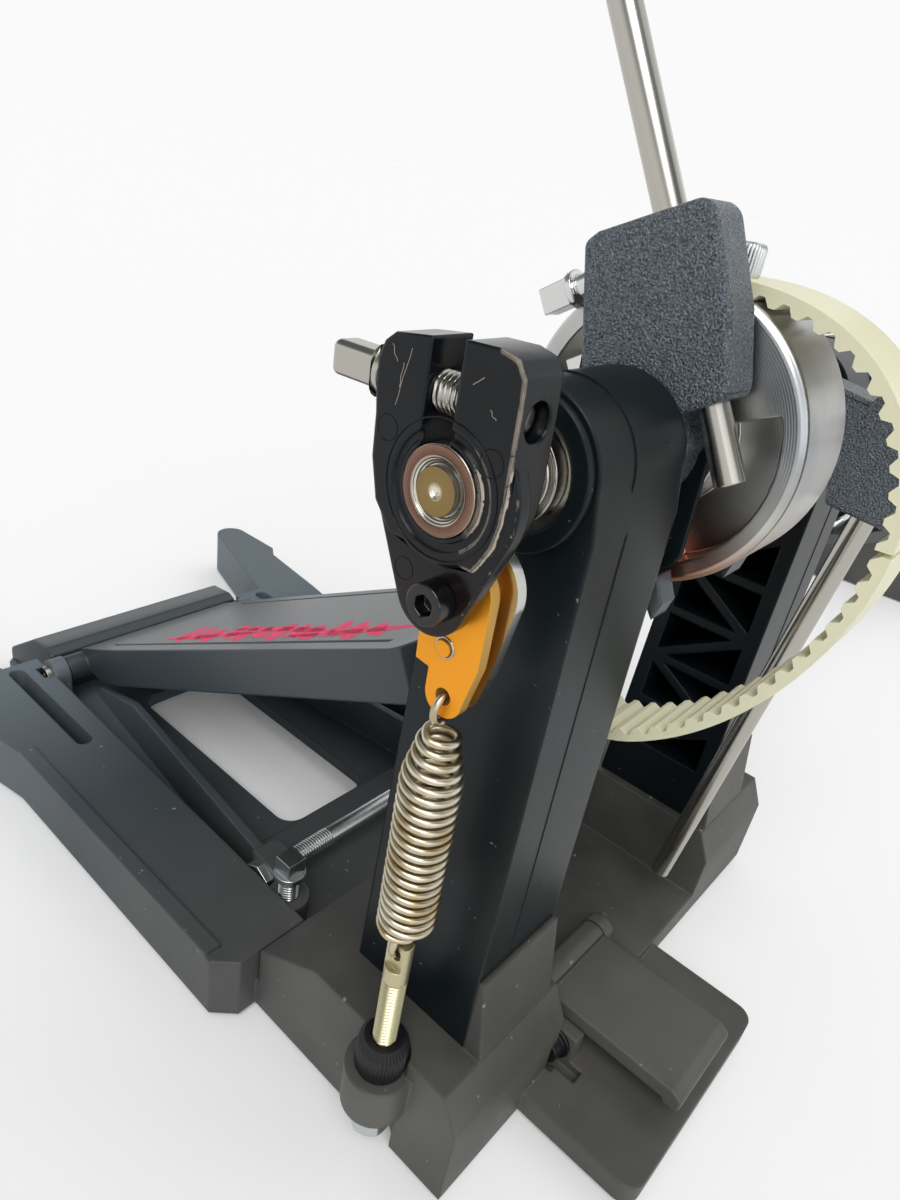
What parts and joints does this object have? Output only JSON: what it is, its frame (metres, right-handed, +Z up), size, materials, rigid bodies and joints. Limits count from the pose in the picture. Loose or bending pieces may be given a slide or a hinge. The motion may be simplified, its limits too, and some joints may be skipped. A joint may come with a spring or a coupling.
{
  "type": "double bass drum pedal",
  "caption": "Belt-driven bass drum pedal with a second pedal joined by a universal-jointed drive shaft, cast bases, beaters and coil return springs.",
  "frame": {"origin": "on the floor under the axle, midway across the main footboard", "axes": "+X to the player's right, +Y towards the drum, +Z up"},
  "size_m": [0.72, 0.35, 0.3827],
  "materials": {
    "cast_black": "satin",
    "satin_black": "satin",
    "board_grey": "satin",
    "steel": "bright",
    "chrome": "polished",
    "zinc": "zinc plated",
    "polished": "polished casting",
    "anodised": "gold anodised",
    "belt": "matt cream polyurethane",
    "rubber": "matt",
    "felt": "felt"
  },
  "bodies": {
    "frame": {"base_frame": "cast_black", "heel_plate": "board_grey", "near_post": "satin_black", "far_post": "satin_black", "post_screws": "steel", "floor_pads": "rubber", "hinge_pins": "steel", "bearing_outer_rings": "steel", "bearing_covers": "satin_black", "tension_rods": "steel", "lock_nuts": "zinc", "cross_rods": "zinc", "second_base_frame": "cast_black", "second_heel_plate": "board_grey", "second_posts": "satin_black"},
    "board": {"footboard": "board_grey", "toe_clamp": "zinc", "belt_lower": "belt"},
    "drive": {"axle": "steel", "bearing_inner_ring": "steel", "axle_bush": "steel", "drive_cam": "polished", "cam_core": "satin_black", "belt_clamp": "zinc", "belt_upper": "belt", "beater_hub": "satin_black", "hub_bolts": "chrome", "rocker": "satin_black", "rocker_bolt": "chrome", "hanger_screw": "satin_black"},
    "beater": {"beater_rod": "steel", "beater_head": "felt"},
    "hanger": {"hanger_plate": "anodised", "hanger_disc": "chrome"},
    "spring": {"return_spring": "steel"},
    "thumb": {"thumb_nut": "satin_black"},
    "jaw": {"hoop_jaw": "cast_black"},
    "jaw_bolt": {"hoop_bolt": "satin_black"},
    "spur_right": {"spur_near": "zinc"},
    "spur_left": {"spur_far": "zinc"},
    "left_drive": {"left_shaft": "steel", "joint_yokes": "cast_black", "joint_crosses": "steel", "drive_tube": "steel", "drive_bar": "zinc", "second_axle": "steel", "second_cam": "polished", "second_belt_upper": "belt", "second_rocker": "satin_black"},
    "left_arm": {"left_hub": "satin_black", "left_hub_bolts": "chrome"},
    "left_beater": {"left_beater_rod": "steel", "left_beater_head": "felt"},
    "second_board": {"second_footboard": "board_grey", "second_belt_lower": "belt"},
    "second_hanger": {"second_hanger": "anodised"},
    "second_spring": {"second_spring": "steel"},
    "second_thumb": {"second_thumb_nut": "satin_black"}
  },
  "joints": [
    {"name": "board_hinge", "type": "hinge", "parent": "frame", "child": "board", "pos_m": [0, -0.20804, 0.022], "axis": [-1, 0, 0], "range_deg": [0, 5.5], "stiffness_Nm_per_rad": 12, "springref_deg": -8.59, "deforming": ["belt_lower"]},
    {"name": "drive_turn", "type": "hinge", "parent": "frame", "child": "drive", "pos_m": [0, 0, 0.18], "axis": [-1, 0, 0], "range_deg": [0, 36], "deforming": ["belt_upper"]},
    {"name": "beater_slide", "type": "slide", "parent": "drive", "child": "beater", "axis": [0, -0.518, 0.8554], "range_m": [-0.025, 0.03]},
    {"name": "hanger_swing", "type": "hinge", "parent": "drive", "child": "hanger", "pos_m": [0.072, 0.0028, 0.1622], "axis": [1, 0, 0], "range_deg": [0, 42.9]},
    {"name": "spring_pull", "type": "slide", "parent": "hanger", "child": "spring", "axis": [0, 0, -1], "range_m": [0, 0.0026], "deforming": ["return_spring"]},
    {"name": "thumb_turn", "type": "hinge", "parent": "frame", "child": "thumb", "pos_m": [0.072, 0.0036, 0.038], "axis": [0, 0, 1], "continuous": true},
    {"name": "jaw_hinge", "type": "hinge", "parent": "frame", "child": "jaw", "pos_m": [0, 0.014, 0.0195], "axis": [1, 0, 0], "range_deg": [0, 14]},
    {"name": "jaw_bolt_turn", "type": "hinge", "parent": "frame", "child": "jaw_bolt", "pos_m": [0.02, 0.0246, 0.0132], "axis": [1, 0, 0], "continuous": true},
    {"name": "spur_right_slide", "type": "slide", "parent": "frame", "child": "spur_right", "axis": [0, 0, 1], "range_m": [0, 0.006]},
    {"name": "spur_left_slide", "type": "slide", "parent": "frame", "child": "spur_left", "axis": [0, 0, 1], "range_m": [0, 0.006]},
    {"name": "second_board_hinge", "type": "hinge", "parent": "frame", "child": "second_board", "pos_m": [-0.52, -0.20804, 0.022], "axis": [-1, 0, 0], "range_deg": [0, 5.5], "stiffness_Nm_per_rad": 12, "springref_deg": -8.59, "deforming": ["second_belt_lower"]},
    {"name": "left_drive_turn", "type": "hinge", "parent": "frame", "child": "left_drive", "pos_m": [-0.52, 0, 0.18], "axis": [-1, 0, 0], "range_deg": [0, 36], "deforming": ["second_belt_upper"]},
    {"name": "left_arm_set", "type": "hinge", "parent": "left_drive", "child": "left_arm", "pos_m": [-0.05, 0, 0.18], "axis": [1, 0, 0], "range_deg": [0, 38]},
    {"name": "left_beater_slide", "type": "slide", "parent": "left_arm", "child": "left_beater", "axis": [0, 0.1132, 0.9936], "range_m": [0, 0.12]},
    {"name": "second_hanger_swing", "type": "hinge", "parent": "left_drive", "child": "second_hanger", "pos_m": [-0.592, 0.0028, 0.1622], "axis": [1, 0, 0], "range_deg": [0, 42.9]},
    {"name": "second_spring_pull", "type": "slide", "parent": "second_hanger", "child": "second_spring", "axis": [0, 0, -1], "range_m": [0, 0.0026], "deforming": ["second_spring"]},
    {"name": "second_thumb_turn", "type": "hinge", "parent": "frame", "child": "second_thumb", "pos_m": [-0.592, 0.0036, 0.038], "axis": [0, 0, 1], "continuous": true}
  ],
  "couplings": [
    {"joint": "drive_turn", "follows": "board_hinge", "ratio": 6.545},
    {"joint": "hanger_swing", "follows": "board_hinge", "ratio": 7.7995},
    {"joint": "spring_pull", "follows": "board_hinge", "m_per_rad": 0.026044},
    {"joint": "left_drive_turn", "follows": "second_board_hinge", "ratio": 6.545},
    {"joint": "second_hanger_swing", "follows": "second_board_hinge", "ratio": 7.7995},
    {"joint": "second_spring_pull", "follows": "second_board_hinge", "m_per_rad": 0.026044}
  ]
}
